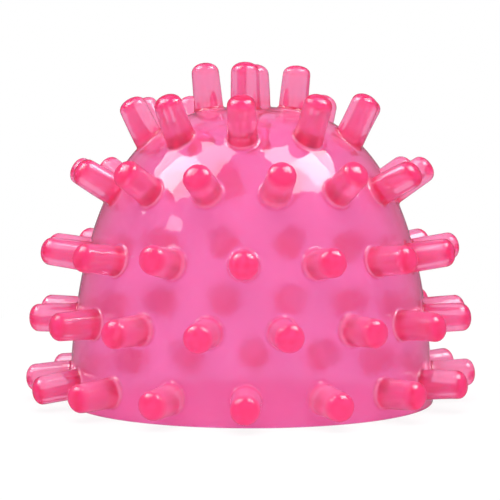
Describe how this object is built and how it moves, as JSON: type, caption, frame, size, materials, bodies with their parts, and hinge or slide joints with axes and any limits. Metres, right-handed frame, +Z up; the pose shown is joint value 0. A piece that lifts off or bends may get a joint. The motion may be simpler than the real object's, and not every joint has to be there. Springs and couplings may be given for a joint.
{
  "type": "silicone cupping cup",
  "caption": "Soft open-mouthed silicone massage cup with rows of blunt nubs and a crown that presses down to drive air out.",
  "frame": {"origin": "centre of the cup's open mouth, on the surface that its rim stands on", "axes": "+Z up through the crown, -Y towards the front"},
  "size_m": [0.0992, 0.0992, 0.0739],
  "materials": {
    "silicone": "glossy translucent hot pink silicone"
  },
  "bodies": {
    "cup_wall": {"sealing_rim": "silicone", "lower_wall_band": "silicone", "upper_wall_band": "silicone", "shoulder_band": "silicone"},
    "crown": {"crown_ring": "silicone", "crown_cap": "silicone"}
  },
  "joints": [
    {"name": "crown_press", "type": "slide", "parent": "cup_wall", "child": "crown", "axis": [0, 0, -1], "range_m": [0, 0.012], "stiffness_N_per_m": 900}
  ]
}
